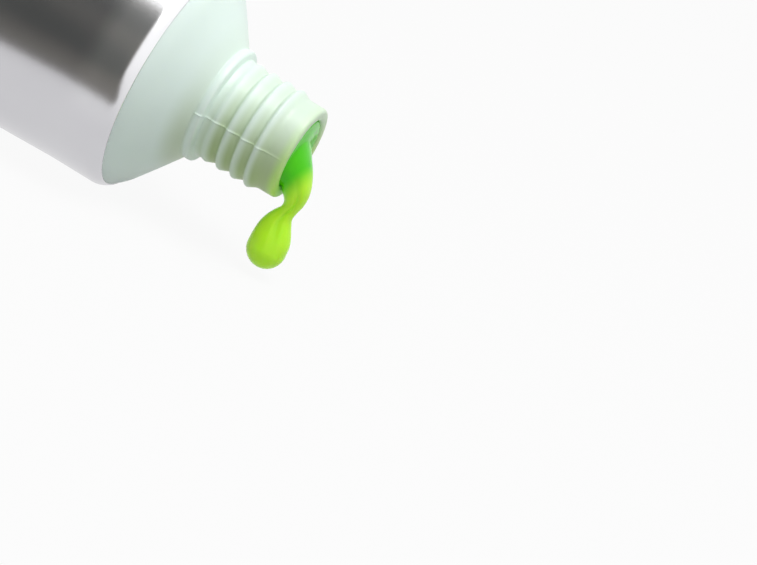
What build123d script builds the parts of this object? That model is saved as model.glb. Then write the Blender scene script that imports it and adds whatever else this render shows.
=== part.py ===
from build123d import *
from math import cos, sin, pi, radians
import os

# A squeezed-open toothpaste tube lying on its side. Millimetres, +Z up.
# The tube's axis runs along X, with the mouth towards +X, and the underside rests on Z = 0.
# Along the axis, places are given as a depth behind the mouth's plane.

# Sleeve: metallised laminate
tube_diameter = 28.0
wall = 0.35
roll_radius = 2.2  # rounded edge where the sleeve turns in over the shoulder
body_length = 105.0  # flexible part, from the round end to the seal
body_fullness = 1.6  # 1 is a straight wedge, more is a fuller body
section_count = 9
corner_power = 1.0  # how much squarer the sections grow towards the seal
flat_dip = 0.3  # how far the underside is pressed flat where it rests
round_end_clear = 0.05  # the stiff round end's height over the rest plane
seal_length = 6.0
seal_thickness = 0.8
seal_overlap = 1.0  # how far the welded strip runs into the body's closed end
pinch_thickness = 0.6  # of the body where it ends inside the strip
seal_margin = 0.06  # strip past the body's edge on each side
seal_lift = 2.4  # height of the seal's underside over the rest plane
cavity_share = 0.985  # share of the body's length that holds paste

# Shoulder moulding
bore_radius = 3.95
bore_break = 0.35
lip_wall = 1.42
lip_round = 0.5
collar_length = 2.3  # plain end of the neck, in front of the ridges
collar_to_ridge = 0.95  # to the first crest's middle
ridge_count = 4
ridge_pitch = 1.75
ridge_height = 0.5  # over the plain collar
ridge_crest = 0.3
groove_height = 0.1
groove_after = 0.6  # from a crest's middle to the groove behind it
band_height = 0.43
band_length = 1.2  # from the last crest's middle
base_height = 1.28
base_length = 1.0
base_chamfer = 0.25
mouth_to_skirt_end = 22.0
skirt_length = 4.2
skirt_wall = 1.1
skirt_to_body = 1.0  # round stretch of the sleeve behind the skirt
shoulder_wall = 1.2
cone_turn = 45.0  # degrees round the rolled edge where the cone ends
ledge = 0.2  # step that the sleeve's cut edge butts against

# Fits
skin_gap = 0.02  # moulding to sleeve
edge_gap = 0.05  # sleeve's cut edge to the ledge
gel_gap = 0.05  # gel to every wall round it
gel_overlap = 1.0  # how far the gel's turned part runs into its flattened part

# Gel strand. In the mouth: forward, drop, turn of the section in degrees, half height and
# half width, with the lengths as multiples of the bore's radius.
mouth_recess = 0.35
strand_in_mouth = [
    (-0.228, 0.240, 0, 0.722, 0.835),
    (0.089, 0.418, 28, 0.582, 0.709),
    (0.329, 0.785, 66, 0.405, 0.481),
]
# Hanging: forward, share of the way down to the end drop, turn, half height and half width.
strand_hanging = [
    (1.78, 0.187, 84, 1.22, 1.25),
    (1.6, 0.347, 110, 1.06, 0.95),
    (1.15, 0.507, 104, 1.25, 1.15),
    (1.05, 0.667, 84, 1.75, 1.6),
    (1.3, 0.84, 76, 2.2, 2.05),
    (1.6, 1.0, 76, 2.25, 2.1),
]
drop_radius = 2.2
drop_clear = 1.25  # end drop to the rest plane

# Origin: on the underside's flat, this far behind the moulding's skirt
skirt_end_x = 15.0

tube_radius = tube_diameter / 2
axis_z = tube_radius + round_end_clear
tube_axis = Axis((0, 0, axis_z), (1, 0, 0))
mouth_x = skirt_end_x + mouth_to_skirt_end
mouth_to_body = mouth_to_skirt_end + skirt_to_body
roll_depth = mouth_to_skirt_end - skirt_length
skirt_radius = tube_radius - wall - skin_gap
lip_radius = bore_radius + lip_wall
first_ridge = collar_length + collar_to_ridge
last_ridge = first_ridge + (ridge_count - 1) * ridge_pitch
neck_end = last_ridge + band_length
base_radius = lip_radius + base_height


def at(depth, radius):
    """A point of a turned profile, above the axis."""
    return (mouth_x - depth, 0, axis_z + radius)


def on_roll(radius, degrees):
    """A point round the rolled edge, measured from its full-width end."""
    turn = radians(degrees)
    return at(roll_depth - radius * sin(turn), tube_radius - roll_radius + radius * cos(turn))


def turned(*edges):
    """The solid made by turning a closed outline about the tube's axis."""
    return revolve(make_face(Curve() + list(edges), Plane.XZ), axis=tube_axis)


def section_points(half_width, half_height, power, count=28):
    """Points of a rounded, flattened ring, from +Y round."""
    points = []
    for step in range(count):
        turn = 2 * pi * step / count
        c, s = cos(turn), sin(turn)
        y = half_width * abs(c) ** (2 / power) * (1 if c >= 0 else -1)
        z = half_height * abs(s) ** (2 / power) * (1 if s >= 0 else -1)
        points.append(Vector(0, y, z))
    return points


def girth(points):
    return sum((a - b).length for a, b in zip(points, points[1:] + points[:1]))


def half_width_at(half_height, power):
    """The half width that keeps the sleeve's girth when it is pressed flatter."""
    target = girth(section_points(tube_radius, tube_radius, 2))
    low, high = tube_radius, pi * tube_radius / 2
    for _ in range(40):
        middle = (low + high) / 2
        if girth(section_points(middle, half_height, power)) < target:
            low = middle
        else:
            high = middle
    return low


def body_section(share, inset):
    """The sleeve's section at a share of the body's length, with its wall taken off by inset."""
    half_height = (pinch_thickness + (tube_diameter - pinch_thickness) * (1 - share**body_fullness)) / 2
    power = 2 + corner_power * share
    half_width = half_width_at(half_height, power)
    dip = (flat_dip + round_end_clear) * min(1, share * (section_count - 1))
    end_lift = seal_lift + (seal_thickness - pinch_thickness) / 2 + flat_dip
    underside = round_end_clear - dip + end_lift * share**5
    place = Vector(mouth_x - mouth_to_body - body_length * share, 0, underside + half_height)
    if share == 0:
        round_end = Plane(origin=place, x_dir=(0, 1, 0), z_dir=(1, 0, 0))
        return Face(Wire(Edge.make_circle(half_height - inset, round_end)))
    ring = section_points(half_width - inset, half_height - inset, power)
    return Face(Wire(Edge.make_spline([place + point for point in ring], periodic=True)))


def body_solid(inset, last_share):
    """The body's full shape, pressed flat underneath, with its wall taken off by inset."""
    last = section_count - 1
    body = loft([body_section(last_share * n / last, inset) for n in range(section_count)])
    reach = 4 * (body_length + tube_diameter)
    return body & Pos(0, 0, inset + reach / 2) * Box(reach, reach, reach)


def neck_outline():
    """The neck's outer points, from the lip's rounding back to the cone."""
    points = [at(lip_round, lip_radius), at(collar_length, lip_radius)]
    for n in range(ridge_count):
        middle = first_ridge + n * ridge_pitch
        points.append(at(middle - ridge_crest / 2, lip_radius + ridge_height))
        points.append(at(middle + ridge_crest / 2, lip_radius + ridge_height))
        if n < ridge_count - 1:
            points.append(at(middle + groove_after, lip_radius + groove_height))
    points.append(at(last_ridge + ridge_crest, lip_radius + band_height))
    points.append(at(neck_end, lip_radius + band_height))
    points.append(at(neck_end + base_chamfer / 2, base_radius - base_chamfer))
    points.append(at(neck_end + base_chamfer, base_radius))
    points.append(at(neck_end + base_length, base_radius))
    return points


def inner_cone_depth(radius):
    """Depth of the cone's inner wall at a radius: the outer line moved back by the wall."""
    end = on_roll(roll_radius - wall - skin_gap + ledge, cone_turn)
    end_radius = end[2] - axis_z
    end_depth = mouth_x - end[0]
    slope = (end_depth - neck_end - base_length) / (end_radius - base_radius)
    return neck_end + base_length + slope * (radius - base_radius) + shoulder_wall * (1 + slope**2) ** 0.5


def make_sleeve():
    start = cone_turn - edge_gap / roll_radius * 180 / pi
    outer = ThreePointArc(
        on_roll(roll_radius, start), on_roll(roll_radius, start / 2), on_roll(roll_radius, 0)
    )
    inner = ThreePointArc(
        on_roll(roll_radius - wall, 0),
        on_roll(roll_radius - wall, start / 2),
        on_roll(roll_radius - wall, start),
    )
    back = Polyline(
        on_roll(roll_radius, 0),
        at(mouth_to_body, tube_radius),
        at(mouth_to_body, tube_radius - wall),
        on_roll(roll_radius - wall, 0),
    )
    edge = Line(on_roll(roll_radius - wall, start), on_roll(roll_radius, start))
    round_end = turned(outer, back, inner, edge)
    seal_x = mouth_x - mouth_to_body - body_length
    seal_width = 2 * half_width_at(pinch_thickness / 2, 2 + corner_power) + 2 * seal_margin
    seal_middle = seal_x + (seal_overlap - seal_length) / 2
    seal = Pos(seal_middle, 0, seal_lift + seal_thickness / 2) * Box(
        seal_length + seal_overlap, seal_width, seal_thickness
    )
    return round_end + (body_solid(0, 1) - body_solid(wall, cavity_share)) + seal


def make_shoulder():
    lip_start = at(0, lip_radius - lip_round)
    lip_middle = at(lip_round * (1 - cos(pi / 4)), lip_radius - lip_round * (1 - sin(pi / 4)))
    lip = ThreePointArc(lip_start, lip_middle, at(lip_round, lip_radius))
    under_sleeve = roll_radius - wall - skin_gap
    neck = Polyline(
        *neck_outline(), on_roll(under_sleeve + ledge, cone_turn), on_roll(under_sleeve, cone_turn)
    )
    edge = ThreePointArc(
        on_roll(under_sleeve, cone_turn),
        on_roll(under_sleeve, cone_turn / 2),
        on_roll(under_sleeve, 0),
    )
    skirt_inside = skirt_radius - skirt_wall
    inside = Polyline(
        on_roll(under_sleeve, 0),
        at(mouth_to_skirt_end, skirt_radius),
        at(mouth_to_skirt_end, skirt_inside),
        at(inner_cone_depth(skirt_inside), skirt_inside),
        at(inner_cone_depth(bore_radius), bore_radius),
        at(bore_break, bore_radius),
        at(0, bore_radius + bore_break),
        lip_start,
    )
    return turned(lip, neck, edge, inside)


def strand_section(forward, drop, turn, half_height, half_width):
    """One section of the strand: upright in the mouth, and level where the strand hangs."""
    lean = radians(turn)
    place = Plane(
        origin=(mouth_x + forward, 0, axis_z - drop),
        x_dir=(0, 1, 0),
        z_dir=(cos(lean), 0, -sin(lean)),
    )
    ring = section_points(half_width, half_height, 2, 16)
    points = [place.from_local_coords(Vector(point.Y, point.Z, 0)) for point in ring]
    return Face(Wire(Edge.make_spline(points, periodic=True)))


def make_gel():
    skirt_inside = skirt_radius - skirt_wall - gel_gap
    bore = bore_radius - gel_gap
    plug = Polyline(
        at(mouth_recess, 0),
        at(mouth_recess, bore),
        at(inner_cone_depth(bore_radius) + gel_gap, bore),
        at(inner_cone_depth(skirt_inside) + gel_gap, skirt_inside),
        at(mouth_to_body + gel_overlap, skirt_inside),
        at(mouth_to_body + gel_overlap, 0),
        at(mouth_recess, 0),
    )
    stations = [
        (forward * bore_radius, drop * bore_radius, turn, high * bore_radius, wide * bore_radius)
        for forward, drop, turn, high, wide in strand_in_mouth
    ]
    lip_drop = strand_in_mouth[-1][1] * bore_radius
    end_drop = axis_z - drop_clear - drop_radius
    stations += [
        (forward, lip_drop + share * (end_drop - lip_drop), turn, high, wide)
        for forward, share, turn, high, wide in strand_hanging
    ]
    stream = loft([strand_section(*station) for station in stations], ruled=True)
    drop = Pos(mouth_x + stations[-1][0], 0, axis_z - end_drop) * Sphere(drop_radius)
    return turned(plug) + body_solid(wall + gel_gap, cavity_share) + stream + drop


os.makedirs("parts", exist_ok=True)
pieces = {"sleeve": make_sleeve(), "shoulder": make_shoulder(), "toothpaste_gel": make_gel()}
for name, piece in pieces.items():
    export_step(piece, f"parts/{name}.step")
    box = piece.bounding_box()
    print(name, "solids", len(piece.solids()), "volume", round(piece.volume, 1), box.min, box.max)
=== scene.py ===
import math
import bmesh
import bpy
from mathutils import Matrix, Vector, noise


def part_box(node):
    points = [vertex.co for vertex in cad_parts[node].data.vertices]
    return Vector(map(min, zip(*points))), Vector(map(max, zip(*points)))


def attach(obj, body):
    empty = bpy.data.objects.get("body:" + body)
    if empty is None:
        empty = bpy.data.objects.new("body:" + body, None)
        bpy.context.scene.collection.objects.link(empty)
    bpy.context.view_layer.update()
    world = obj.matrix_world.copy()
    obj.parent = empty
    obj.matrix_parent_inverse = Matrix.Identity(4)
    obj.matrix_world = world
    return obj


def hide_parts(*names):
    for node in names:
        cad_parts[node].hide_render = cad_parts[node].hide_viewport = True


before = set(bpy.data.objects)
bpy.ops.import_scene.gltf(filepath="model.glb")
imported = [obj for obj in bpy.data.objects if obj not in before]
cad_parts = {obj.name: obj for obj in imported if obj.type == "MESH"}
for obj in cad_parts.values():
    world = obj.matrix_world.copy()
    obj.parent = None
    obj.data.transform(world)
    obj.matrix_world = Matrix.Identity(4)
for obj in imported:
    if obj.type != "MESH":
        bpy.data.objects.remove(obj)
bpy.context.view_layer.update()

scene = bpy.context.scene
mm = 0.001

shoulderLow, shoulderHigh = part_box("shoulder")
sleeveLow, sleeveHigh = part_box("sleeve")
mouthX = shoulderHigh.x  # the lip's plane
skirtX = shoulderLow.x  # the moulding's back edge, inside the sleeve
axisZ = (shoulderLow.z + shoulderHigh.z) / 2
tubeRadius = sleeveHigh.z - axisZ
sealEndX = sleeveLow.x
print("frame loaded: mouth at", round(mouthX, 4), "axis at", round(axisZ, 4))


class Wire:  # a node's output, so that shader maths reads as an expression
    def __init__(self, tree, socket):
        self.tree = tree
        self.socket = socket

    def maths(self, operation, first, second):
        return self.tree.node("ShaderNodeMath", {"operation": operation}, {0: first, 1: second})

    def __add__(self, other):
        return self.maths("ADD", self, other)

    def __radd__(self, other):
        return self.maths("ADD", other, self)

    def __sub__(self, other):
        return self.maths("SUBTRACT", self, other)

    def __rsub__(self, other):
        return self.maths("SUBTRACT", other, self)

    def __mul__(self, other):
        return self.maths("MULTIPLY", self, other)

    def __rmul__(self, other):
        return self.maths("MULTIPLY", other, self)

    def __pow__(self, other):
        return self.maths("POWER", self, other)

    def larger(self, other):
        return self.maths("MAXIMUM", self, other)

    def ramp(self, low, high):  # 0 at low, 1 at high, eased
        values = {"Value": self, "From Min": low, "From Max": high}
        return self.tree.node("ShaderNodeMapRange", {"interpolation_type": "SMOOTHSTEP"}, values)


class Tree:  # a material's or the world's nodes
    def __init__(self, owner):
        owner.use_nodes = True
        self.nodes = owner.node_tree.nodes
        self.links = owner.node_tree.links
        self.nodes.clear()

    def make(self, kind, settings, values):
        made = self.nodes.new(kind)
        for name, value in settings.items():
            setattr(made, name, value)
        for name, value in values.items():
            self.feed(made.inputs[name], value)
        return made

    def node(self, kind, settings=None, values=None, output=0):
        made = self.make(kind, settings or {}, values or {})
        return Wire(self, made.outputs[output])

    def feed(self, socket, value):
        if isinstance(value, Wire):
            self.links.new(value.socket, socket)
        elif isinstance(value, tuple) and len(value) == 3 and socket.type == "RGBA":
            socket.default_value = (*value, 1)
        else:
            socket.default_value = value

    def mix(self, share, first, second):  # colours, which are this node's sixth and seventh sockets
        return self.node("ShaderNodeMix", {"data_type": "RGBA"}, {0: share, 6: first, 7: second}, output=2)

    def spot(self):  # position in metres
        return self.node("ShaderNodeTexCoord", output="Object")

    def axis(self, spot, name):
        return self.node("ShaderNodeSeparateXYZ", None, {0: spot}, output=name)

    def noise(self, spot, scale, detail=3.0):
        values = {"Vector": spot, "Scale": scale, "Detail": detail, "Roughness": 0.5}
        return self.node("ShaderNodeTexNoise", None, values)

    def bump(self, height, distance, strength):
        values = {"Height": height, "Distance": distance, "Strength": strength}
        return self.node("ShaderNodeBump", None, values)

    def finishWith(self, shader, kind="ShaderNodeOutputMaterial"):
        self.make(kind, {}, {"Surface": shader})


def addObject(name, data):
    made = bpy.data.objects.new(name, data)
    scene.collection.objects.link(made)
    return made


# One smooth surface through rings of as many points: capped at both ends, or closed on itself.
def skin(name, rings, closed=False):
    around = len(rings[0])
    points = [point for ring in rings for point in ring]
    faces = []
    for n in range(len(rings) if closed else len(rings) - 1):
        near = n * around
        far = (n + 1) % len(rings) * around
        for k in range(around):
            after = (k + 1) % around
            faces.append((near + k, near + after, far + after, far + k))
    if not closed:
        last = (len(rings) - 1) * around
        faces.append(tuple(reversed(range(around))))
        faces.append(tuple(range(last, last + around)))
    mesh = bpy.data.meshes.new(name)
    mesh.from_pydata(points, [], faces)
    whole = bmesh.new()
    whole.from_mesh(mesh)
    bmesh.ops.remove_doubles(whole, verts=whole.verts, dist=1e-7)
    bmesh.ops.recalc_face_normals(whole, faces=whole.faces)
    whole.to_mesh(mesh)
    whole.free()
    mesh.polygons.foreach_set("use_smooth", [True] * len(mesh.polygons))
    return addObject(name, mesh)


def ease(value, low, high):  # 0 at low, 1 at high
    t = min(1, max(0, (value - low) / (high - low)))
    return t * t * (3 - 2 * t)


def hump(value, middle, width):
    return math.exp(-((value - middle) / width) ** 2)


def turnsAround(count):
    return [2 * math.pi * k / count for k in range(count)]


# Points of an outline of (depth, radius, corner radius), with each corner turned by a curve.
def rounded(outline, steps=5):
    points = []
    for n, (depth, radius, corner) in enumerate(outline):
        here = Vector((depth, radius))
        if corner == 0 or n in (0, len(outline) - 1):
            points.append(here)
            continue
        before = Vector(outline[n - 1][:2]) - here
        after = Vector(outline[n + 1][:2]) - here
        reach = min(corner, before.length * 0.48, after.length * 0.48)  # under half, so corners stay apart
        start = here + before.normalized() * reach
        end = here + after.normalized() * reach
        for k in range(steps + 1):
            t = k / steps
            points.append(start * (1 - t) ** 2 + here * 2 * t * (1 - t) + end * t * t)
    return points


def between(p, q, r, s, t):  # a smooth value from q to r, led by its neighbours p and s
    bend = (2 * p - 5 * q + 4 * r - s) * t**2
    twist = (3 * q - p - 3 * r + s) * t**3
    return 0.5 * (2 * q + (r - p) * t + bend + twist)


def along(stations, steps):  # a smooth run through stations, each a tuple of numbers
    ends = [stations[0]] + list(stations) + [stations[-1]]
    run = []
    for n in range(1, len(ends) - 2):
        for k in range(steps):
            near = zip(*ends[n - 1:n + 3])
            run.append(tuple(between(*four, k / steps) for four in near))
    return run + [tuple(stations[-1])]


body = {  # the flattened part, shared by the sleeve and the gel inside it
    "startX": skirtX - 1 * mm,  # where the round end starts to flatten
    "length": 105 * mm,
    "fullness": 1.6,
    "squareness": 1.0,
    "pinch": 0.6 * mm,
    "flatDip": 0.3 * mm,
    "dipReach": 0.125,  # share of the length in which the underside sinks to its flat
    "clear": 0.05 * mm,
    "liftPower": 5,  # how late the underside lifts to the seal
    "sealUnder": 2.4 * mm,
    "sealThickness": 0.8 * mm,
    "thinnest": 0.05 * mm,
}


def flatRing(halfWidth, halfHeight, power, around):
    ring = []
    for turn in turnsAround(around):
        c = math.cos(turn)
        s = math.sin(turn)
        y = math.copysign(halfWidth * abs(c) ** (2 / power), c)
        z = math.copysign(halfHeight * abs(s) ** (2 / power), s)
        ring.append((y, z))
    return ring


def girth(ring):
    return sum(math.dist(a, b) for a, b in zip(ring, ring[1:] + ring[:1]))


# The half width that keeps the sleeve's girth when it is pressed flatter, found by halving.
def halfWidthAt(halfHeight, power):
    low = tubeRadius
    high = tubeRadius * math.pi / 2
    for _ in range(24):
        middle = (low + high) / 2
        if girth(flatRing(middle, halfHeight, power, 120)) < 2 * math.pi * tubeRadius:
            low = middle
        else:
            high = middle
    return low


# (x, middle height, ring) of the body at a share of its length.
def bodySection(share, inset, around):
    power = 2 + body["squareness"] * share
    halfHeight = (body["pinch"] + (2 * tubeRadius - body["pinch"]) * (1 - share ** body["fullness"])) / 2
    dip = (body["flatDip"] + body["clear"]) * min(1, share / body["dipReach"])
    endLift = body["sealUnder"] + (body["sealThickness"] - body["pinch"]) / 2 + body["flatDip"]
    under = body["clear"] - dip + endLift * share ** body["liftPower"]
    halfWidth = halfWidthAt(halfHeight, power) - inset
    ring = flatRing(halfWidth, max(halfHeight - inset, body["thinnest"]), power, around)
    return body["startX"] - body["length"] * share, under + halfHeight, ring


sleeve = {
    "around": 320,
    "wall": 0.35 * mm,
    "rollRadius": 2.2 * mm,
    "rollDepth": 17.8 * mm,  # where the rounded edge reaches full width, behind the lip
    "rollTurn": 43.7,  # degrees of the rounded edge
    "rollRings": 14,
    "straightRings": 8,
    "bodyRings": 110,
    "innerRollRings": 4,
    "innerBodyRings": 40,
    "cavityShare": 0.975,
    "overlapTurn": 334,  # degrees round from +Y, where the lengthwise overlap lies
    "overlapHalf": 7,
    "overlapEdge": 0.6,
    "overlapStep": 0.09 * mm,
    "waveDepth": 0.5 * mm,
    "waveScale": (38, 0.9),  # along the tube and around it
    "hollowDepth": 1.1 * mm,
    "hollows": [  # share along and its reach, degrees round and their reach, strength
        (0.42, 0.16, 62, 34, 1.0),
        (0.66, 0.11, 112, 26, 0.7),
    ],
    "creaseHalf": 5,
    "creases": [  # degrees round, lean along the tube, depth
        (34, 70, 0.35 * mm),
        (150, -85, 0.3 * mm),
        (74, 30, 0.16 * mm),
        (212, 60, 0.3 * mm),
        (318, -75, 0.35 * mm),
    ],
    "crimpPitch": 0.62 * mm,
    "crimpDepth": 0.07 * mm,
    "crimpSteps": 8,
    "crimpMargins": (0.3 * mm, 0.6 * mm, 0.5 * mm, 0.3 * mm),  # the plain ends of the strip
    "sealRise": 0.1 * mm,  # of the strip's faces over the pinched body
    "sealRiseIn": 0.25 * mm,
    "sealSquareIn": 0.5 * mm,
    "dull": (0.56, 0.555, 0.58),
    "bright": (0.64, 0.635, 0.66),
    "sealTint": (0.82, 0.82, 0.83),
    # a painted highlight on the rounded front edge
    "rollHighlight": (0.95, 0.95, 0.97),
}


def softStretch(share):  # where the foil is free to wave
    return ease(share, 0.02, 0.3) * (1 - 0.9 * ease(share, 0.82, 1.0))


def creaseStretch(share):  # the creases run out from the seal
    return ease(share, 0.62, 0.86) * (1 - ease(share, 0.93, 0.99))


# How far the foil lies inside its full shape: the overlap's step, soft waves and creases.
def sleeveSink(x, turn, share):
    degrees = math.degrees(turn) % 360
    away = abs((degrees - sleeve["overlapTurn"] + 180) % 360 - 180)
    half = sleeve["overlapHalf"]
    edge = sleeve["overlapEdge"]
    step = sleeve["overlapStep"] * ease(away, half - edge, half + edge)
    alongScale, aroundScale = sleeve["waveScale"]
    spot = Vector((x * alongScale, math.cos(turn) * aroundScale, math.sin(turn) * aroundScale))
    wave = 0.5 + 0.5 * noise.noise(spot)
    hollow = 0
    for middle, reach, side, spread, strength in sleeve["hollows"]:
        hollow += strength * hump(share, middle, reach) * hump(degrees, side, spread)
    crease = 0
    for middle, lean, depth in sleeve["creases"]:
        line = middle + lean * (share - 0.9)
        crease += depth * hump(degrees, line, sleeve["creaseHalf"]) * creaseStretch(share)
    soft = sleeve["waveDepth"] * wave + sleeve["hollowDepth"] * hollow
    return step + softStretch(share) * soft + crease


# (x, middle height, ring, share) from the sleeve's front edge to the end of its body.
def sleeveSections(inset, rollRings, bodyRings, lastShare):
    around = sleeve["around"]
    circle = flatRing(1, 1, 2, around)
    sections = []
    rollX = mouthX - sleeve["rollDepth"]
    roll = sleeve["rollRadius"] - inset
    for n in range(rollRings):
        turn = math.radians(sleeve["rollTurn"]) * (1 - n / rollRings)
        radius = tubeRadius - sleeve["rollRadius"] + roll * math.cos(turn)
        ring = [(y * radius, z * radius) for y, z in circle]
        sections.append((rollX + roll * math.sin(turn), axisZ, ring, 0))
    radius = tubeRadius - inset
    for n in range(sleeve["straightRings"]):
        x = rollX + (body["startX"] - rollX) * n / sleeve["straightRings"]
        sections.append((x, axisZ, [(y * radius, z * radius) for y, z in circle], 0))
    for n in range(bodyRings):
        share = lastShare * n / (bodyRings - 1)
        sections.append((*bodySection(share, inset, around), share))
    return sections


# A section's points, moved in by the foil's waves and creases, and never below lowest.
def sunkRing(x, middle, ring, share, lowest):
    points = []
    halfHeight = max(z for y, z in ring)
    level = 1 - ease(share, 0.3, 0.8)  # flat stretches move straight up and down
    for turn, (y, z) in zip(turnsAround(len(ring)), ring):
        fromEdge = ease(abs(z) / halfHeight, 0, 0.6)
        sink = sleeveSink(x, turn, share) * (level + (1 - level) * fromEdge)
        inward = Vector((0, -y * level, -z - math.copysign(1e-9, z))).normalized()
        point = Vector((x, y, middle + z)) + inward * min(sink, halfHeight * 0.4)
        point.z = max(point.z, lowest)
        points.append(point)
    return points


# The welded strip, pressed into fine lines across its width.
def sealRings():
    startX = body["startX"] - body["length"]
    length = startX - sealEndX
    halfWidth = halfWidthAt(body["pinch"] / 2, 2 + body["squareness"])
    middle = body["sealUnder"] + body["sealThickness"] / 2
    count = int(length / sleeve["crimpPitch"] * sleeve["crimpSteps"])
    frontPlain, frontFull, backFull, backPlain = sleeve["crimpMargins"]
    rings = []
    for n in range(1, count + 1):
        into = length * n / count
        inside = ease(into, frontPlain, frontFull) * (1 - ease(into, length - backFull, length - backPlain))
        wave = 0.5 - 0.5 * math.cos(2 * math.pi * into / sleeve["crimpPitch"])
        rise = sleeve["sealRise"] * ease(into, 0, sleeve["sealRiseIn"])
        halfHeight = body["pinch"] / 2 + rise - sleeve["crimpDepth"] * wave * inside
        power = 3 + 5 * ease(into, 0, sleeve["sealSquareIn"])  # rounded edges grow square
        ring = flatRing(halfWidth, halfHeight, power, sleeve["around"])
        rings.append([Vector((startX - into, y, middle + z)) for y, z in ring])
    return rings


def makeSleeve():
    wall = sleeve["wall"]
    inside = sleeveSections(wall, sleeve["innerRollRings"], sleeve["innerBodyRings"], sleeve["cavityShare"])
    outside = sleeveSections(0, sleeve["rollRings"], sleeve["bodyRings"], 1)
    inner = [sunkRing(*section, wall) for section in inside]
    outer = [sunkRing(*section, 0) for section in outside]
    return skin("sleeve_foil", inner[::-1] + outer + sealRings())


def foilMaterial():
    material = bpy.data.materials.new("brushed silver foil")
    tree = Tree(material)
    spot = tree.spot()
    x = tree.axis(spot, "X")
    z = tree.axis(spot, "Z")
    mottle = tree.noise(spot, 90, 4)
    grain = tree.noise(spot, 2600, 2)
    rubbed = tree.noise(spot, 14).ramp(0.52, 0.7)
    seal = 1 - x.ramp(sealEndX + 6.1 * mm, sealEndX + 6.6 * mm)
    # painted highlight: the rounded front edge is painted near white, most on its upper side
    roll = x.ramp(skirtX - 1 * mm, skirtX + 2 * mm) * z.ramp(axisZ - 6 * mm, axisZ + 6 * mm)
    colour = tree.mix(mottle, sleeve["dull"], sleeve["bright"])
    colour = tree.mix(seal * 0.35, colour, sleeve["sealTint"])
    colour = tree.mix(roll, colour, sleeve["rollHighlight"])
    shader = tree.node("ShaderNodeBsdfPrincipled", None, {
        "Base Color": colour,
        "Metallic": 1.0,
        "Roughness": 0.2 + mottle * 0.06 + rubbed * 0.08 + seal * 0.08,
        "Normal": tree.bump(grain, 0.02 * mm, 0.25),
    })
    tree.finishWith(shader)
    return material


shoulder = {
    "around": 240,
    "bore": 3.95 * mm,
    "boreBreak": 0.3 * mm,
    "boreEnd": 12.0 * mm,
    "lip": 5.37 * mm,
    "lipRound": 0.5 * mm,
    "collarEnd": 2.3 * mm,
    "ridges": 4,
    "pitch": 1.75 * mm,
    "firstRidge": 3.25 * mm,
    "ridge": 5.87 * mm,
    "groove": 5.47 * mm,
    "band": 5.8 * mm,
    "neckEnd": 9.7 * mm,
    "base": 6.65 * mm,
    "baseLength": 1.0 * mm,
    "cone": [  # depth, radius and corner radius of the cone's gentle bends
        (13.2 * mm, 9.72 * mm, 2.5 * mm),
        (15.2 * mm, 12.28 * mm, 1.2 * mm),
    ],
    "coneEnd": (16.35 * mm, 13.25 * mm, 0.05 * mm),  # where the foil's cut edge begins
    "underFoil": [
        (16.51 * mm, 13.08 * mm, 0),
        (17.2 * mm, 13.5 * mm, 0.5 * mm),
    ],
    "skirt": 13.63 * mm,
    "skirtWall": 1.1 * mm,
    "skirtStart": 18.2 * mm,
    "skirtEnd": 22.0 * mm,
    "skirtInsideStart": 17.7 * mm,
    "partingTurn": 182,  # degrees from +Y; a second line lies opposite
    "partingHeight": 0.07 * mm,
    "partingHalf": 0.09 * mm,
    "milkLow": (0.76, 0.90, 0.835),
    "milkHigh": (0.80, 0.93, 0.87),
    "neckGelShade": (0.48, 0.62, 0.34),  # the gel showing through the wall, greyed with painted shade, as the next two are; the fourth is the gel showing through the lip
    "grooveGelShade": (0.30, 0.44, 0.08),
    "footGelShade": (0.42, 0.52, 0.24),
    # the gel showing through the thin lip, painted stronger towards the bottom
    "lipTint": (0.55, 0.93, 0.16),
}


# (depth, radius, corner radius) of one ridge and the groove behind it.
def ridgeOutline(crest, withGroove):
    s = shoulder
    outline = [
        (crest, s["ridge"] + 0.02 * mm, 0.22 * mm),
        (crest + 0.2 * mm, s["ridge"] - 0.02 * mm, 0.12 * mm),
    ]
    if withGroove:
        outline.append((crest + 0.55 * mm, s["groove"], 0.2 * mm))
        outline.append((crest + 0.75 * mm, s["groove"], 0.3 * mm))
    return outline


# (depth, radius, corner radius) from the bore's back, over the lip and down to the skirt.
def shoulderOutline():
    s = shoulder
    last = s["ridges"] - 1
    lastRidge = s["firstRidge"] + last * s["pitch"]
    baseEnd = s["neckEnd"] + s["baseLength"]
    skirtInside = s["skirt"] - s["skirtWall"]
    outline = [
        (s["boreEnd"], s["bore"], 0),
        (0.35 * mm, s["bore"], s["boreBreak"]),
        (0.0, s["bore"] + s["boreBreak"], 0.25 * mm),
        (0.0, s["lip"], s["lipRound"]),
        (s["collarEnd"], s["lip"], 0.35 * mm),
    ]
    for n in range(s["ridges"]):
        outline += ridgeOutline(s["firstRidge"] + n * s["pitch"], n < last)
    outline += [
        (lastRidge + 0.5 * mm, s["band"] - 0.08 * mm, 0.2 * mm),
        (s["neckEnd"], s["band"], 0.15 * mm),
        (s["neckEnd"] + 0.2 * mm, s["base"], 0.3 * mm),
        (baseEnd - 0.2 * mm, s["base"] + 0.02 * mm, 0.25 * mm),
        (baseEnd + 0.12 * mm, s["base"] - 0.1 * mm, 0.15 * mm),
        *s["cone"],
        s["coneEnd"],
        *s["underFoil"],
        (s["skirtStart"], s["skirt"], 0.3 * mm),
        (s["skirtEnd"], s["skirt"], 0),
        (s["skirtEnd"], skirtInside, 0),
        (s["skirtInsideStart"], skirtInside, 0.3 * mm),
        (s["boreEnd"], s["bore"], 0),
    ]
    return outline


def partingRise(turn, radius, partings):  # the fine ridge where the mould's halves met
    off = min(abs(math.remainder(turn - parting, 2 * math.pi)) for parting in partings)
    return shoulder["partingHeight"] * max(0, 1 - (off * radius / shoulder["partingHalf"]) ** 2)


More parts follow.
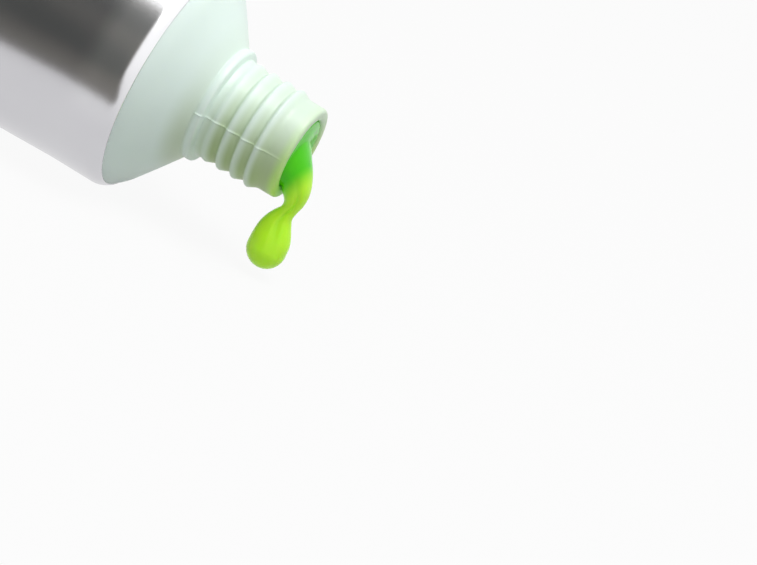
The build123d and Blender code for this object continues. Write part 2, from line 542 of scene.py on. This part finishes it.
def makeShoulder():
    s = shoulder
    turns = turnsAround(s["around"])
    partings = [math.radians(s["partingTurn"]), math.radians(s["partingTurn"] - 180)]
    for parting in partings:
        for shift in (-0.6, -0.2, 0.2, 0.6):  # closer points there, in degrees
            turns.append(parting + math.radians(shift))
    turns.sort()
    rings = []
    for depth, radius in rounded(shoulderOutline()):
        ring = []
        onNeck = radius > s["lip"] - 0.3 * mm and 0.6 * mm < depth < s["neckEnd"] + s["baseLength"]
        for turn in turns:
            out = radius + partingRise(turn, radius, partings) if onNeck else radius
            ring.append(Vector((mouthX - depth, out * math.cos(turn), axisZ + out * math.sin(turn))))
        rings.append(ring)
    return skin("shoulder_moulding", rings[:-1], closed=True)


def shoulderMaterial():
    s = shoulder
    material = bpy.data.materials.new("milky white moulding")
    tree = Tree(material)
    spot = tree.spot()
    y = tree.axis(spot, "Y")
    depth = mouthX - tree.axis(spot, "X")
    up = tree.axis(spot, "Z") - axisZ
    radius = (y * y + up * up) ** 0.5
    cloud = tree.noise(spot, 160)
    lip = 1 - depth.ramp(0.1 * mm, 1.3 * mm)
    neck = 1 - depth.ramp(8.0 * mm, 11.5 * mm)
    thin = 1 - radius.ramp(s["groove"] + 0.08 * mm, s["ridge"] + 0.02 * mm)
    footStart = depth.ramp(s["neckEnd"] + 0.7 * mm, s["neckEnd"] + 1.3 * mm)
    foot = footStart * (1 - depth.ramp(11.2 * mm, 13.0 * mm))
    # painted shade: the neck's tints grow stronger towards its bottom, where it lies in shade
    shadeBelow = 1 - up.ramp(-5.5 * mm, 5.5 * mm)
    colour = tree.mix(cloud, s["milkLow"], s["milkHigh"])
    # the gel showing through the neck, greyed with painted shade
    colour = tree.mix(neck * (0.1 + shadeBelow * 0.36), colour, s["neckGelShade"])
    # the gel showing through the thinner groove walls, darkened with painted shade in the grooves
    colour = tree.mix(neck * thin * (0.16 + shadeBelow * 0.6), colour, s["grooveGelShade"])
    # painted shade in the corner at the foot of the neck, tinted by the gel
    colour = tree.mix(foot * (0.1 + shadeBelow * 0.4), colour, s["footGelShade"])
    # the gel showing through the thin lip, painted stronger towards the bottom
    colour = tree.mix(lip * (0.12 + shadeBelow * 0.7), colour, s["lipTint"])
    shader = tree.node("ShaderNodeBsdfPrincipled", None, {
        "Base Color": colour,
        "Roughness": 0.36 + cloud * 0.08,
        "Subsurface Weight": 0.2,
        "Subsurface Radius": (1.0, 1.0, 0.8),
        "Subsurface Scale": 1.2 * mm,
        "IOR": 1.49,
        "Normal": tree.bump(tree.noise(spot, 1400, 2), 0.012 * mm, 0.3),
    })
    tree.finishWith(shader)
    return material


gel = {
    "around": 128,
    "gap": 0.05 * mm,
    "recess": 0.12 * mm,
    "fillRings": 30,
    "fillShare": 0.97,  # of the body's length
    "fillInset": 0.6 * mm,
    "fillWidth": 0.93,  # kept clear of the foil's waves
    "fillHeight": 0.86,
    "coneRings": [  # depth, and how far inside the skirt
        (22.4 * mm, 0.6 * mm),
        (18.0 * mm, 0),
    ],
    "boreRings": (12.2 * mm, 8 * mm, 4 * mm, 1 * mm),
    "steps": 7,
    "capSteps": 12,
    "strand": [  # in millimetres: forward, drop, degrees turned, half height, half width; then fold depth
        (-0.2, 1.1, 0, 2.75, 3.3, 0.0),
        (0.5, 1.95, 16, 2.05, 2.7, 0.0),
        (1.05, 2.85, 32, 1.8, 2.2, 0.04),
        (1.55, 3.8, 48, 1.5, 1.7, 0.14),
        (1.78, 4.6, 58, 1.28, 1.35, 0.24),
        (1.72, 5.4, 67, 1.15, 1.1, 0.28),
        (1.37, 6.2, 75, 1.18, 1.0, 0.24),
        (1.06, 7.05, 76, 1.37, 1.15, 0.2),
        (1.02, 8.0, 74, 1.74, 1.45, 0.16),
        (1.33, 9.5, 83, 2.14, 1.9, 0.1),
        (1.4, 10.8, 88, 2.2, 2.1, 0.04),
    ],
    "foldTurn": 158,  # degrees round the section
    "foldHalf": 14,
    "nearDark": (0.42, 0.82, 0.02),
    "nearLight": (0.52, 0.87, 0.04),
    "deepShaded": (0.07, 0.56, 0.0),  # where the gel is thick near the mouth, darkened with painted shade there
}


# One ring of the strand: scale shrinks it towards its middle, and ahead moves it along the strand.
def strandRing(forward, drop, turn, halfHeight, halfWidth, fold, scale=1.0, ahead=0.0):
    lean = math.radians(turn)
    flow = Vector((math.cos(lean), 0, -math.sin(lean)))
    rise = Vector((math.sin(lean), 0, math.cos(lean)))
    middle = Vector((mouthX + forward * mm, 0, axisZ - drop * mm)) + flow * ahead * mm
    ring = []
    for angle in turnsAround(gel["around"]):
        pinch = 1 - fold * hump(math.degrees(angle), gel["foldTurn"], gel["foldHalf"]) * scale
        across = halfWidth * math.cos(angle) * pinch * scale
        high = halfHeight * math.sin(angle) * pinch * scale
        ring.append(middle + Vector((0, across * mm, 0)) + rise * high * mm)
    return ring


def circleRing(depth, radius):
    ring = []
    for turn in turnsAround(gel["around"]):
        ring.append(Vector((mouthX - depth, radius * math.cos(turn), axisZ + radius * math.sin(turn))))
    return ring


def fillRings():  # the gel that lies in the flattened body, from its far end
    inset = gel["fillInset"]
    last = gel["fillRings"] - 1
    rings = []
    for n in range(gel["fillRings"]):
        x, middle, ring = bodySection(gel["fillShare"] * (1 - n / last), inset, gel["around"])
        points = [(y * gel["fillWidth"], max(middle + z * gel["fillHeight"], inset)) for y, z in ring]
        rings.append([Vector((x, y, z)) for y, z in points])
    return rings


def makeGel():
    recess = gel["recess"]
    bore = shoulder["bore"] - gel["gap"]
    skirtInside = shoulder["skirt"] - shoulder["skirtWall"] - gel["gap"]
    rings = fillRings()
    rings += [circleRing(depth, skirtInside - inset) for depth, inset in gel["coneRings"]]
    rings += [circleRing(depth, bore) for depth in gel["boreRings"]]
    rings.append(circleRing(recess + 0.15 * mm, bore))
    rings.append(circleRing(recess + 0.03 * mm, bore - 0.06 * mm))
    rings.append(circleRing(recess, bore - 0.25 * mm))
    run = along(gel["strand"], gel["steps"])
    rings += [strandRing(*station) for station in run]
    last = run[-1]
    for n in range(1, gel["capSteps"] + 1):
        turn = math.pi / 2 * n / gel["capSteps"]
        rings.append(strandRing(*last, scale=max(math.cos(turn), 0.01), ahead=last[3] * math.sin(turn)))
    return skin("gel_strand", rings)


def gelMaterial():
    material = bpy.data.materials.new("clear green gel")
    tree = Tree(material)
    spot = tree.spot()
    forward = tree.axis(spot, "X") - mouthX
    drop = axisZ - tree.axis(spot, "Z")
    near = 1 - (forward + drop * 0.42).ramp(1.4 * mm, 3.6 * mm)
    cloud = tree.noise(spot, 420)
    colour = tree.mix(cloud, gel["nearDark"], gel["nearLight"])
    # darker green near the mouth: the thick gel there, with painted shade in and just outside the mouth
    colour = tree.mix(near, colour, gel["deepShaded"])
    shader = tree.node("ShaderNodeBsdfPrincipled", None, {
        "Base Color": colour,
        "Roughness": 0.12 + cloud * 0.05,
        "Subsurface Weight": 0.8,
        "Subsurface Radius": (0.7, 1.0, 0.15),
        "Subsurface Scale": 1.6 * mm,
        "IOR": 1.38,
        "Specular IOR Level": 0.25,
        "Coat Weight": 0.12,
        "Coat Roughness": 0.04,
        # painted glow: the gel gives off a little light in its own colour
        "Emission Color": colour,
        "Emission Strength": 0.12,
        "Normal": tree.bump(tree.noise(spot, 260, 2), 0.06 * mm, 0.35),
    })
    tree.finishWith(shader)
    return material


def place(piece, node, material):
    piece.data.materials.append(material)
    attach(piece, "root")
    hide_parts(node)


place(makeSleeve(), "sleeve", foilMaterial())
print("sleeve made")
place(makeShoulder(), "shoulder", shoulderMaterial())
print("shoulder made")
place(makeGel(), "toothpaste_gel", gelMaterial())
print("gel made")


studio = {
    "floorSize": 6.0,
    "floorColour": (0.5, 0.5, 0.5),
    "floorGlow": 0.93,  # share of the floor that is plain white to the camera and in reflections
    "white": (1.0, 1.0, 1.0),
    "ambient": 0.4,
    "keyPlace": (0.12, -0.1, 0.6),
    "keySize": 0.35,
    "keyPower": 3.2,
    "cardLeft": -0.7,
    "cardRight": 0.036,
    "cardNear": -0.032,
    "cardAway": -0.26,
    "cardHeight": 0.5,
    "cardLift": 0.2 * mm,
    "cardDark": (0.085, 0.09, 0.085),
    "cardPale": (0.2, 0.19, 0.17),
}


def seenDirectly(tree):  # 1 for the camera, reflections and clear things, 0 for soft light
    camera, glossy, clear = (tree.node("ShaderNodeLightPath", output=name) for name in
                             ("Is Camera Ray", "Is Glossy Ray", "Is Transmission Ray"))
    return camera.larger(glossy.larger(clear))


def makeWorld():
    world = bpy.data.worlds.new("studio")
    scene.world = world
    tree = Tree(world)
    white = studio["white"]
    soft = tree.node("ShaderNodeBackground", None, {"Color": white, "Strength": studio["ambient"]})
    plain = tree.node("ShaderNodeBackground", None, {"Color": white, "Strength": 1.0})
    both = tree.node("ShaderNodeMixShader", None, {0: seenDirectly(tree), 1: soft, 2: plain})
    tree.finishWith(both, "ShaderNodeOutputWorld")


def makeSheet(name, corners, material):  # a flat four-cornered thing that belongs to the studio
    mesh = bpy.data.meshes.new(name)
    mesh.from_pydata(corners, [], [(0, 1, 2, 3)])
    mesh.materials.append(material)
    sheet = addObject(name, mesh)
    return sheet


def makeFloor():
    half = studio["floorSize"] / 2
    material = bpy.data.materials.new("white floor")
    tree = Tree(material)
    matt = tree.node("ShaderNodeBsdfDiffuse", None, {"Color": studio["floorColour"]})
    glow = tree.node("ShaderNodeEmission", None, {"Color": studio["white"], "Strength": 1.0})
    share = seenDirectly(tree) * studio["floorGlow"]
    tree.finishWith(tree.node("ShaderNodeMixShader", None, {0: share, 1: matt, 2: glow}))
    makeSheet("floor", [(-half, -half, 0), (half, -half, 0), (half, half, 0), (-half, half, 0)], material)


def cardMaterial():
    material = bpy.data.materials.new("dark card")
    tree = Tree(material)
    patch = tree.noise(tree.spot(), 9).ramp(0.35, 0.7)
    colour = tree.mix(patch, studio["cardDark"], studio["cardPale"])
    tree.finishWith(tree.node("ShaderNodeEmission", None, {"Color": colour, "Strength": 1.0}))
    return material


def makeCard(name, corners):  # only reflections see it
    card = makeSheet(name, corners, cardMaterial())
    card.visible_camera = False
    card.visible_diffuse = False
    card.visible_shadow = False
    card.visible_transmission = False
    card.visible_volume_scatter = False


def makeCards():
    left, right, near, away = (studio[name] for name in ("cardLeft", "cardRight", "cardNear", "cardAway"))
    high = studio["cardHeight"]
    low = studio["cardLift"]
    makeCard("upright card", [(left, away, 0), (right, away, 0), (right, away, high), (left, away, high)])
    makeCard("lying card", [(left, away, low), (right, away, low), (right, near, low), (left, near, low)])


def makeKey():
    light = bpy.data.lights.new("key", "AREA")
    light.shape = "SQUARE"
    light.size = studio["keySize"]
    light.energy = studio["keyPower"]
    key = addObject("key", light)
    key.location = studio["keyPlace"]
    key.rotation_mode = "QUATERNION"
    key.rotation_quaternion = (Vector((mouthX, 0, axisZ)) - key.location).to_track_quat("-Z", "Y")
    key.visible_camera = False


view = {
    "lens": 238,
    "distance": 0.526,  # from the mouth
    "lean": 10.45,  # degrees the mouth turns towards the camera
    "height": 17,  # degrees above the floor, round the tube's axis
    "roll": 31.4,  # degrees the axis drops to the right in the picture
    "mouthRight": -8.1 * mm,  # the mouth's place from the picture's middle, at its distance
    "mouthUp": 13.44 * mm,
    "clip": (0.01, 50),
}


def makeCamera():
    lean, height, roll = (math.radians(view[name]) for name in ("lean", "height", "roll"))
    back = Vector((math.sin(lean), -math.cos(lean) * math.cos(height), math.cos(lean) * math.sin(height)))
    axis = (Vector((1, 0, 0)) - back * math.sin(lean)) / math.cos(lean)
    up = back.cross(axis)
    right = axis * math.cos(roll) + up * math.sin(roll)
    top = up * math.cos(roll) - axis * math.sin(roll)
    mouth = Vector((mouthX, 0, axisZ))
    spot = mouth - right * view["mouthRight"] - top * view["mouthUp"] + back * view["distance"]
    data = bpy.data.cameras.new("camera")
    data.lens = view["lens"]
    data.clip_start, data.clip_end = view["clip"]
    camera = addObject("camera", data)
    turn = Matrix((right, top, back)).transposed().to_4x4()
    camera.matrix_world = Matrix.Translation(spot) @ turn
    scene.camera = camera


makeWorld()
makeFloor()
makeCards()
makeKey()
makeCamera()
scene.view_settings.view_transform = "Standard"
print("studio ready")
